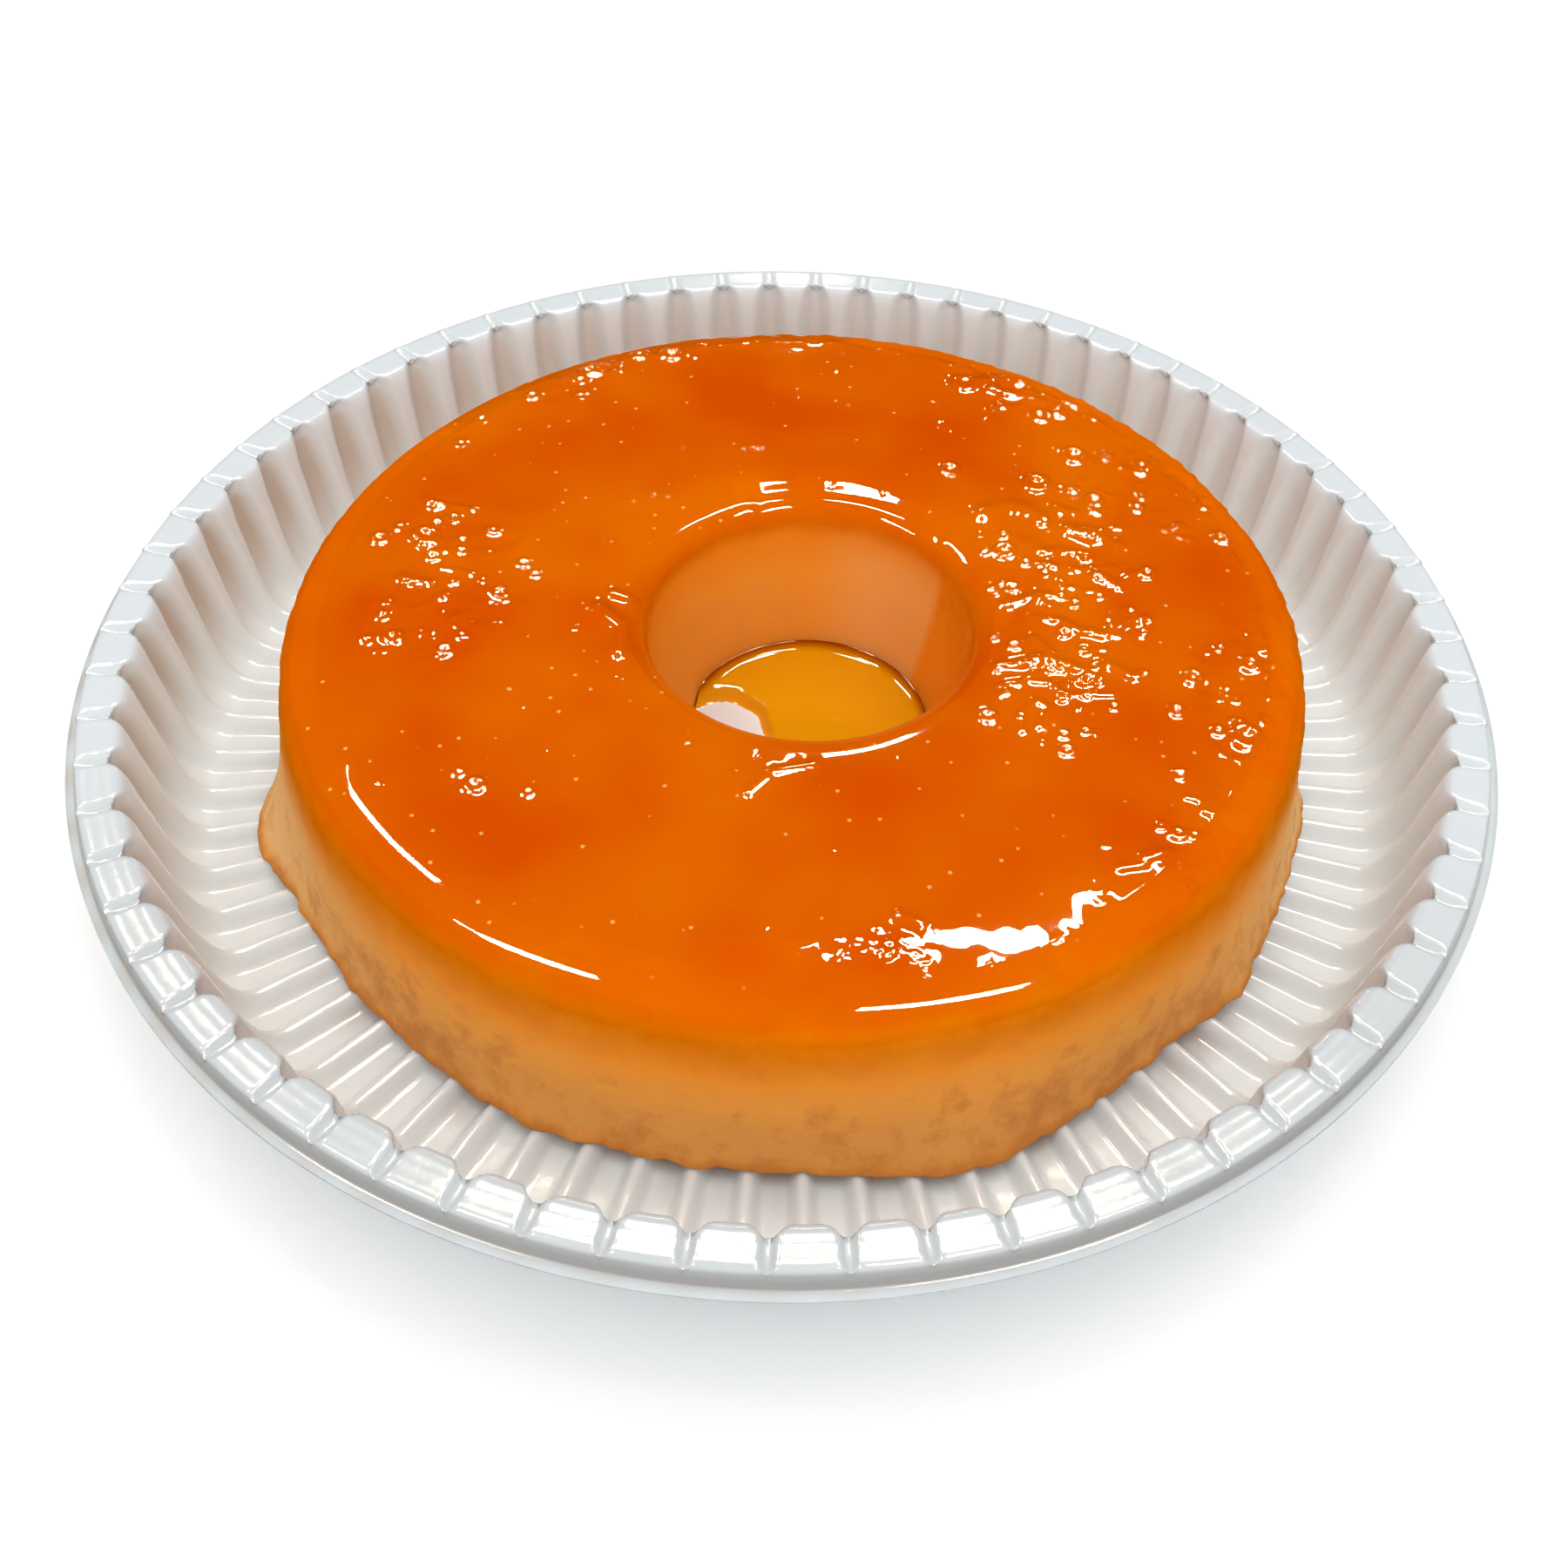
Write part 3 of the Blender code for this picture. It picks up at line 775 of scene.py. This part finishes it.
    def section(self) -> list[Point]:
        """Draw the ring's section, from the inner foot over the top to the outer foot.

        Returns:
            Its (radius, height) points.
        """
        wall_top = self.top - self.lip_drops[0][-1]
        points = []
        for index in range(self.wall_steps + 1):
            share = index / self.wall_steps
            bow = self.wall_bow * math.sin(math.pi * share)
            points.append((self.hole_foot + (self.hole_top - self.hole_foot) * share + bow,
                           self.bottom + (wall_top - self.bottom) * share))
        top_marks = tuple(float(mark) for mark in range(37, 69))
        for mark in self.lip_marks + top_marks + self.shoulder_marks:
            points.append((mark, self.height_at(mark)))
        points.append((self.shoulder_marks[-1] + 0.25, self.top - self.shoulder_drops[0][-1] - 1.0))
        return points + list(self.side) + [(self.underside_mark, self.bottom)]

    def drop(self, table: tuple[Point, ...], way: float) -> list[float]:
        """Add up a table of tilts into how far the top has dropped.

        Args:
            table: the (radius, degrees) rows, with rising radii.
            way: 1 to start from the smallest radius, -1 from the largest.

        Returns:
            The drop at each tilt step, from the flat top to the table's other end.
        """
        drops, radius = [0.0], table[0 if way > 0.0 else -1][0]
        for _ in range(round((table[-1][0] - table[0][0]) / self.tilt_step)):
            tilt = min(along(table, radius + way * 0.5 * self.tilt_step), self.steepest)
            drops.append(drops[-1] + math.tan(math.radians(tilt)) * self.tilt_step)
            radius += way * self.tilt_step
        return drops

    def height_at(self, radius: float, azimuth: float = 90.0) -> float:
        """Work out the height of the smooth top.

        The lip is sharper at the back, and the shoulder has its own shape in front and at the left.

        Args:
            radius: the distance from the ring's axis.
            azimuth: the direction from it.

        Returns:
            The height there.
        """
        if radius <= self.lip[-1][0]:
            back = within(azimuth, 79.0, 31.0, 6.0)
            drops, shares = self.lip_drops, (1.0 - back, back)
            index = (self.lip[-1][0] - radius) / self.tilt_step
        elif radius >= self.shoulder[0][0]:
            front = smooth(-91.0, -85.0, azimuth) * (1.0 - smooth(-55.0, -48.0, azimuth))
            left = within(azimuth, -133.5, 10.0, 4.0)
            drops, shares = self.shoulder_drops, (1.0 - front - left, front, left)
            index = (radius - self.shoulder[0][0]) / self.tilt_step
        else:
            return self.top
        low = min(int(index), len(drops[0]) - 1)
        high = min(low + 1, len(drops[0]) - 1)
        return self.top - sum(share * (rows[low] + (rows[high] - rows[low]) * (index - low))
                              for rows, share in zip(drops, shares))

    def scatter(self) -> None:
        """Choose where the bubbles and the wrinkles lie: most of them in the rough patches."""
        draw = random.Random(self.seed)
        weights = [patch.size[0] * patch.size[1] for patch in self.patches]
        for _ in range(self.bubbles):
            patch = draw.choices(self.patches, weights)[0]
            reach, angle = draw.random() ** 0.6, draw.uniform(0.0, math.tau)
            x = patch.centre[0] + patch.size[0] * reach * math.cos(angle)
            y = patch.centre[1] + patch.size[1] * reach * math.sin(angle)
            self.spots.append((x, y, draw.uniform(0.35, 1.05)))
        for _ in range(self.strays):
            radius, angle = draw.uniform(30.0, 70.0), draw.uniform(0.0, math.tau)
            self.spots.append((radius * math.cos(angle), radius * math.sin(angle), draw.uniform(0.28, 0.6)))
        self.spots += self.rings
        folds = list(self.folds)
        for _ in range(self.wrinkles):
            patch = draw.choices(self.patches, weights)[0]
            x = patch.centre[0] + patch.size[0] * draw.uniform(-0.8, 0.8)
            y = patch.centre[1] + patch.size[1] * draw.uniform(-0.8, 0.8)
            heading = draw.gauss(0.0, 0.5)
            line = [(x, y)]
            for _ in range(draw.randint(1, 4)):
                x, y = x + self.wrinkle_step * math.cos(heading), y + self.wrinkle_step * math.sin(heading)
                heading += draw.gauss(0.0, 0.6)
                line.append((x, y))
            folds.append(Fold(tuple(line), draw.uniform(0.5, 0.9), 0.40))
        for fold in folds:
            self.pleats += fold.pleats()

    def need(self, x: float, y: float) -> float:
        """Say how much fine relief a point on the top has.

        Args:
            x: the point's place to the right.
            y: its place to the back.

        Returns:
            The need, from 0 to 1.
        """
        spots, pleats = self.near(x, y)
        if any(math.hypot(x - bx, y - by) < 1.6 * size + 0.5 for bx, by, size in spots):
            return 1.0
        if any(self.off_line(x, y, start, end) < 2.0 * width + 0.5 for start, end, width, _ in pleats):
            return 1.0
        return max(patch.share(x, y) for patch in self.patches)

    @staticmethod
    def off_line(x: float, y: float, start: Point, end: Point) -> float:
        """Measure how far a point lies from a straight line.

        Args:
            x: the point's place to the right.
            y: its place to the back.
            start: one end of the line.
            end: the other end.

        Returns:
            The distance.
        """
        run = (end[0] - start[0], end[1] - start[1])
        share = ((x - start[0]) * run[0] + (y - start[1]) * run[1]) / (run[0] ** 2 + run[1] ** 2)
        share = min(max(share, 0.0), 1.0)
        return math.hypot(x - start[0] - share * run[0], y - start[1] - share * run[1])

    def near(self, x: float, y: float) -> tuple[list[Spot], list[Pleat]]:
        """Return the bubbles and the pleats that can reach a point."""
        return self.cells.get((int(x // self.cell), int(y // self.cell)), ([], []))

    def index_spots(self) -> None:
        """Sort the bubbles and pleats into square cells, each listed in the cells round it too."""
        places = [(0, spot, spot[0], spot[1], 2 if spot[2] > 2.0 else 1) for spot in self.spots]
        for pleat in self.pleats:
            (ax, ay), (bx, by) = pleat[0], pleat[1]
            places += [(1, pleat, ax + (bx - ax) * share, ay + (by - ay) * share, 1)
                       for share in (0.0, 0.5, 1.0)]
        for kind, item, x, y, reach in places:
            column, row = int(x // self.cell), int(y // self.cell)
            for i in range(column - reach, column + reach + 1):
                for j in range(row - reach, row + reach + 1):
                    cell = self.cells.setdefault((i, j), ([], []))
                    if item not in cell[kind]:
                        cell[kind].append(item)

    def relief(self, x: float, y: float) -> float:
        """Work out how high the film stands over the smooth top.

        Args:
            x: the point's place to the right.
            y: its place to the back.

        Returns:
            The height in millimetres.
        """
        radius = math.hypot(x, y)
        total = self.swell[0] * ripple(x, y, self.swell[1], 3.1) * (1.0 - smooth(25.0, 50.0, y))
        back = smooth(66.0, 70.0, radius) * smooth(-25.0, 5.0, y) * smooth(-50.0, 10.0, x)
        total += self.worn[0] * back * ripple(x, y, self.worn[1], 8.3)
        front = smooth(62.0, 64.5, radius) * (1.0 - smooth(68.5, 70.0, radius))
        front *= 1.0 - smooth(-50.0, -40.0, y)
        total += self.band[0] * front * ripple(x, y, self.band[1], 2.6)
        clump = smooth(-0.15, 0.20, ripple(x, y, self.clump, 6.6))
        for patch in self.patches:
            share = patch.share(x, y)
            if share > 0.0:
                wave = ripple(x, y, patch.grain, 9.7)
                fine = ripple(x, y, patch.grain / 2.3, 4.2)
                total += share * patch.height * (0.3 + 0.7 * clump) * (1.5 * wave + 0.2 * fine)
        spots, pleats = self.near(x, y)
        for bx, by, size in spots:
            away = math.hypot(x - bx, y - by)
            if away < 2.0 * size:
                wall = min(0.28 * size, 0.50)
                total += wall * math.exp(-((away - 0.85 * size) / min(0.34 * size, 0.75)) ** 2)
                total -= 0.3 * wall * math.exp(-((away / (0.5 * size)) ** 2))
        fold = 0.0
        for start, end, width, height in pleats:
            fold = max(fold, height * math.exp(-((self.off_line(x, y, start, end) / width) ** 2)))
        return min(total + fold, self.tallest)

    def froth(self, x: float, y: float) -> float:
        """Return how thickly the finest bubbles lie on the top at a point, from 0 to 1."""
        clump = smooth(-0.25, 0.25, ripple(x, y, self.clump, 6.6))
        return max(patch.share(x, y) for patch in self.patches) * clump

    def build(self, finish: CaramelCustard) -> bpy.types.Object:
        """Turn the section, refine the rough patches and raise the film's relief.

        Args:
            finish: the ring's finish.

        Returns:
            The ring.
        """
        self.scatter()
        self.index_spots()
        bm = bmesh.new()
        verts = open_line(bm, self.section())
        bm.edges.new((verts[-1], verts[0]))
        spin_round(bm, self.steps)
        top_low = self.height_at(74.2) * MM
        needed = {}
        for vert in bm.verts:
            x, y = vert.co.x / MM, vert.co.y / MM
            on_film = vert.co.z > top_low and self.film_start < math.hypot(x, y) < self.film_end
            needed[vert] = on_film and self.need(x, y) > 0.02
        edges = [edge for edge in bm.edges if all(needed[vert] for vert in edge.verts)]
        bmesh.ops.subdivide_edges(bm, edges=edges, cuts=2, use_grid_fill=True)
        layers = {name: bm.verts.layers.float.new(name)
                  for name in ("caramel", "froth", "pale", "browned", "wet")}
        for vert in bm.verts:
            self.place(vert, layers)
        bmesh.ops.recalc_face_normals(bm, faces=bm.faces)
        return finish_piece("custard", bm, finish.material(), ("custard",))

    def place(self, vert: bmesh.types.BMVert, layers: dict) -> None:
        """Move one point of the plain ring to where it lies on the pudding, and stain it.

        Args:
            vert: the point.
            layers: the layers of its colours, by name.
        """
        x, y, z = (value / MM for value in vert.co)
        radius = math.hypot(x, y)
        azimuth = math.degrees(math.atan2(y, x))
        if 24.65 < radius < 75.95 and z > 20.0:
            fade = smooth(25.4, 27.0, radius) * (1.0 - smooth(74.2, 76.0, radius))
            z = self.height_at(radius, azimuth) + self.relief(x, y) * fade
            vert[layers["froth"]] = self.froth(x, y) * fade
            vert[layers["wet"]] = (smooth(24.9, 25.5, radius) * (1.0 - smooth(73.9, 74.7, radius))
                                   * self.wetness(radius, azimuth))
        low = 1.0 - (z - self.bottom) / (self.top - self.bottom)
        outside = min(max((radius - 36.0) / 28.0, 0.0), 1.0)
        stretch = 1.0 + self.swelling(Vector((x, y, z)), azimuth, low, outside) / max(radius, 1.0)
        shift_x, shift_y = (hole + (ring - hole) * outside for hole, ring in zip(self.hole_shift, self.shift))
        vert.co = ((x * stretch + shift_x) * MM, (y * stretch + shift_y) * MM, z * MM)
        stains = self.outer_stain(radius, azimuth, low) if radius > 50.0 else self.hole_stain(azimuth, low)
        for name, share in zip(("caramel", "pale", "browned"), stains):
            vert[layers[name]] = share

    def swelling(self, place: Vector, azimuth: float, low: float, outside: float) -> float:
        """Work out how far the pudding swells outwards at a point.

        It leans on the plate in bulges near the foot, its side is a little uneven, its shoulder is bumpy
        at the back, and its foot is ragged.

        Args:
            place: the point on the plain ring.
            azimuth: its direction.
            low: how low it lies, from 0 at the top to 1 at the foot.
            outside: 1 on the outer part of the ring, falling to 0 on the inner part.

        Returns:
            The distance in millimetres.
        """
        x, y, _ = place
        radius = math.hypot(x, y)
        out = sum(reach * bell(azimuth, centre, width) for centre, reach, width in self.bulges)
        out *= outside * max(low, 0.0) ** 3
        side = smooth(74.5, 76.0, radius)
        out += side * 0.22 * (noise.noise(place / 7.0) + noise.noise(place / 2.2))
        bumpy = smooth(73.0, 75.0, radius) * smooth(-30.0, 0.0, y) * (1.0 - smooth(0.12, 0.35, low))
        bumpy *= 0.25 + 0.75 * smooth(-50.0, 10.0, x)
        out += 0.55 * bumpy * noise.noise(place / 1.8)
        ragged = ripple(x, y, 2.6, 0.0) + 0.7 * ripple(x, y, 1.3, 40.0 / 1.3)
        return out + side * 0.55 * smooth(0.86, 0.97, low) * ragged

    def outer_stain(self, radius: float, azimuth: float, low: float) -> tuple[float, float, float]:
        """Work out the colours of the top and the outer side.

        Args:
            radius: the distance from the ring's axis.
            azimuth: the direction from it.
            low: how low the point lies, from 0 at the top to 1 at the foot.

        Returns:
            The shares of caramel, painted sheen and brown crumb.
        """
        caramel = (1.0 - 0.06 * smooth(62.0, 74.5, radius) - 0.15 * smooth(0.05, 0.20, low)
                   - 0.70 * smooth(0.14, 0.85, low))
        # A painted sheen lightens the middle of the side, most at the left and the right.
        pale = self.sheen_at(azimuth) * smooth(0.15, 0.6, low) * (1.0 - smooth(0.88, 0.98, low))
        return caramel, pale, self.browning(azimuth, low)

    @staticmethod
    def hole_stain(azimuth: float, low: float) -> tuple[float, float, float]:
        """Work out the colours of the inner top and the hole's wall, with its drip of caramel.

        Args:
            azimuth: the direction from the ring's axis.
            low: how low the point lies, from 0 at the top to 1 at the foot.

        Returns:
            The shares of caramel, painted sheen and brown crumb.
        """
        drip = within(azimuth, 0.0, 33.0, 7.0)
        caramel = 1.0 - 0.42 * smooth(0.05, 0.30, low) - 0.34 * smooth(0.15, 0.6, low)
        caramel += (0.76 - caramel) * drip * smooth(0.05, 0.3, low) * (1.0 - 0.4 * low)
        # A painted sheen lightens the lower wall at the back right, which faces the front left.
        pale = 0.24 * (1.0 - drip) * smooth(0.1, 0.4, low) * within(azimuth, 48.0, 15.0, 35.0)
        return caramel, pale, 0.0

    def wetness(self, radius: float, azimuth: float) -> float:
        """Say how wet the film is on top: the shoulder and the hole's lip are dry in places.

        Args:
            radius: the distance from the ring's axis.
            azimuth: the direction from it.

        Returns:
            The wetness, from 0 to 1.
        """
        if radius > 69.6:
            shown = max(within(azimuth, *window) for window in self.wet_shoulders)
            return 1.0 - smooth(69.6, 70.6, radius) * (1.0 - shown)
        if radius > 62.0:
            start = 62.0 + 5.0 * smooth(-95.0, -96.5, azimuth)
            return 1.0 - smooth(start, start + 1.0, radius) * within(azimuth, -98.0, 12.0, 1.0)
        if radius < 34.0:
            gap = max(within(azimuth, *window) for window in self.dry_lips)
            return 1.0 - (1.0 - smooth(32.5, 34.0, radius)) * smooth(28.2, 28.8, radius) * gap
        return 1.0

    @staticmethod
    def sheen_at(azimuth: float) -> float:
        """Return how strongly a painted sheen lightens the side at an azimuth: most at the left and the
        right.
        """
        return 0.14 + 0.64 * bell(azimuth, -165.0, 26.0) + 0.62 * bell(azimuth, -8.0, 24.0)

    @staticmethod
    def browning(azimuth: float, low: float) -> float:
        """Return how much brown crumb shows on the side, from its top at low 0 to its foot at low 1."""
        patches = 0.20 * bell(azimuth, -125.0, 16.0) + 0.24 * bell(azimuth, -52.0, 22.0)
        return min((0.12 + patches) * smooth(0.35, 0.85, low) + 0.4 * smooth(0.92, 0.98, low), 1.0)


@dataclass
class CaramelPool:
    """The syrup that has run into the hole, with a raised edge and one spot that it leaves bare.

    The edge climbs the wall by edge_rise, which fades over edge_reach, and the bare spot lies sunk below
    the plate's face.
    """

    floor: float = 3.4
    level: float = 4.9
    radius: float = 19.2
    centre: Point = (1.8, 0.0)
    edge_rise: float = 1.4
    edge_reach: float = 0.55
    sink: float = 0.35
    thickness: float = 0.1
    bare_centre: Point = (-12.2, -2.0)
    bare_size: Point = (7.4, 8.4)
    rings: int = 48
    steps: int = 144

    def build(self, finish: AmberSyrup) -> bpy.types.Object:
        """Make the puddle: a disc with a lower and an upper face, which is then raised to its level.

        Args:
            finish: the syrup's finish.

        Returns:
            The puddle.
        """
        bm = bmesh.new()
        marks = [self.radius * (1.0 - (1.0 - index / self.rings) ** 1.3) for index in range(self.rings + 1)]
        open_line(bm, [(0.0, 0.0), (self.radius, 0.0)] + [(mark, 1.0) for mark in marks[::-1]])
        spin_round(bm, self.steps)
        bmesh.ops.remove_doubles(bm, verts=bm.verts, dist=WELD)
        depth = bm.verts.layers.float.new("depth")
        sunk = self.floor - self.sink
        for vert in bm.verts:
            upper = vert.co.z > 0.5 * MM
            x, y = vert.co.x / MM + self.centre[0], vert.co.y / MM + self.centre[1]
            away = self.radius - math.hypot(vert.co.x, vert.co.y) / MM
            stand = self.standing(x, y)
            rise = self.edge_rise * math.exp(-away / self.edge_reach)
            z = sunk + (self.level - sunk + rise) * stand if upper else sunk - self.thickness
            vert.co = (x * MM, y * MM, z * MM)
            vert[depth] = stand * (0.40 + 0.08 * ripple(x, y, 9.0, 5.0) + 0.60 * math.exp(-away / 0.8))
        bmesh.ops.recalc_face_normals(bm, faces=bm.faces)
        return finish_piece("caramel_pool", bm, finish.material(), ("caramel_pool",))

    def standing(self, x: float, y: float) -> float:
        """Say how fully the syrup stands at a point.

        Args:
            x: the point's place to the right.
            y: its place to the back.

        Returns:
            The share, from 0 in the bare spot to 1.
        """
        dx = (x - self.bare_centre[0]) / self.bare_size[0]
        dy = (y - self.bare_centre[1]) / self.bare_size[1]
        past = (math.hypot(dx, dy) - 1.0) * 0.5 * sum(self.bare_size)
        return smooth(-0.3, 1.5, past + 0.7 * ripple(x, y, 4.0, 0.0))


@dataclass(frozen=True)
class Lamp:
    """A panel lamp: where it hangs, its size in metres, its power in watts and its distance in metres.

    A mirrored lamp gives only the highlights, which are a warm white, and any other only the soft light.
    Turn rolls the lamp on its axis, in degrees.
    """

    name: str
    towards: tuple[float, float, float]
    size: Point
    power: float
    mirrored: bool = True
    away: float = 1.2
    turn: float = 0.0
    warm: str = "FFEBC8"

    def hang(self) -> None:
        """Hang the lamp, facing the pudding."""
        data = bpy.data.lights.new(self.name, "AREA")
        data.shape = "RECTANGLE"
        data.size, data.size_y = self.size
        data.energy = self.power
        if self.mirrored:
            data.color = linear(self.warm)[:3]
        lamp = bpy.data.objects.new(self.name, data)
        bpy.context.scene.collection.objects.link(lamp)
        direction = Vector(self.towards).normalized()
        lamp.location = Vector((0.0, 0.0, 0.03)) + direction * self.away
        lamp.rotation_euler = (direction.to_track_quat("Z", "Y")
                               @ Quaternion((0.0, 0.0, 1.0), math.radians(self.turn))).to_euler()
        lamp.visible_glossy = self.mirrored
        lamp.visible_diffuse = not self.mirrored


@dataclass(frozen=True)
class Studio:
    """A pale floor, panel lamps overhead and a hand-held camera close by.

    The eye is in metres, the pitch and roll are in radians, and the shift is a share of the frame.
    """

    eye: tuple[float, float, float] = (0.01202, -0.18276, 0.19380)
    pitch: float = 0.8372689
    roll: float = -0.0679840
    lens: float = 37.463
    shift: Point = (-0.0530, 0.0036)
    lamps: tuple[Lamp, ...] = (
        Lamp("panel_back_left", (-0.145, 0.335, 0.93), (0.24, 0.09), 24.0),
        Lamp("panel_back_right", (0.18, 0.325, 0.93), (0.38, 0.09), 37.0),
        Lamp("strip_back_end", (0.35, 0.32, 0.88), (0.03, 0.24), 8.0, turn=35.0),
        Lamp("strip_left", (-0.42, 0.0, 0.90), (0.05, 0.28), 16.0),
        Lamp("strip_right", (0.26, -0.03, 0.96), (0.05, 0.40), 22.0),
        Lamp("panel_left", (-0.50, 0.38, 0.78), (0.06, 0.22), 18.0),
        Lamp("lamp_far", (-0.066, 0.885, 0.465), (0.04, 0.025), 1.4),
        Lamp("soft_over", (0.0, 0.1, 1.0), (2.0, 2.0), 19.0, False, 1.4),
        Lamp("soft_front", (0.1, -0.9, 0.6), (1.4, 1.0), 8.0, False, 1.4),
    )
    room: tuple[float, float, float, float] = (0.37, 0.37, 0.38, 1.0)
    floor_paint: str = "FDFDFD"
    floor_size: float = 4.0
    floor_drop: float = 0.0002

    def build(self) -> None:
        """Lay the floor, hang the lamps, light the room and place the camera."""
        self.lay_floor()
        for lamp in self.lamps:
            lamp.hang()
        world = bpy.data.worlds.new("room")
        world.use_nodes = True
        world.node_tree.nodes["Background"].inputs[0].default_value = self.room
        bpy.context.scene.world = world
        world.cycles_visibility.glossy = False
        bpy.context.scene.view_settings.view_transform = "Standard"
        self.place_camera()

    def lay_floor(self) -> None:
        """Lay a matt painted floor just under the plate: it gives no reflection in the gloss."""
        bm = bmesh.new()
        bmesh.ops.create_grid(bm, x_segments=1, y_segments=1, size=self.floor_size)
        mesh = bpy.data.meshes.new("floor")
        bm.to_mesh(mesh)
        bm.free()
        floor = bpy.data.objects.new("floor", mesh)
        floor.location.z = -self.floor_drop
        floor.visible_glossy = False
        bpy.context.scene.collection.objects.link(floor)
        material, _, shader = new_material("floor_matt_paint")
        shader.inputs["Base Color"].default_value = linear(self.floor_paint)
        shader.inputs["Roughness"].default_value = 0.9
        mesh.materials.append(material)

    def place_camera(self) -> None:
        """Place the camera: it looks down at the ring from the front, turned slightly on its axis."""
        right = Vector((1.0, 0.0, 0.0))
        ahead = Vector((0.0, math.cos(self.pitch), -math.sin(self.pitch)))
        up = Vector((0.0, math.sin(self.pitch), math.cos(self.pitch)))
        across = right * math.cos(self.roll) - up * math.sin(self.roll)
        upward = right * math.sin(self.roll) + up * math.cos(self.roll)
        data = bpy.data.cameras.new("camera")
        data.lens = self.lens
        data.sensor_width = 36.0
        data.shift_x, data.shift_y = self.shift
        data.clip_start = 0.01
        camera = bpy.data.objects.new("camera", data)
        turn = Matrix((across, upward, -ahead)).transposed().to_4x4()
        camera.matrix_world = Matrix.Translation(Vector(self.eye)) @ turn
        bpy.context.scene.collection.objects.link(camera)
        bpy.context.scene.camera = camera


def main() -> None:
    """Build every piece, then the studio round it."""
    logging.basicConfig(level=logging.INFO, format="%(message)s")
    FlutedPlate().build(Polystyrene())
    PuddingRing().build(CaramelCustard())
    CaramelPool().build(AmberSyrup())
    Studio().build()


if __name__ == "__main__":
    main()
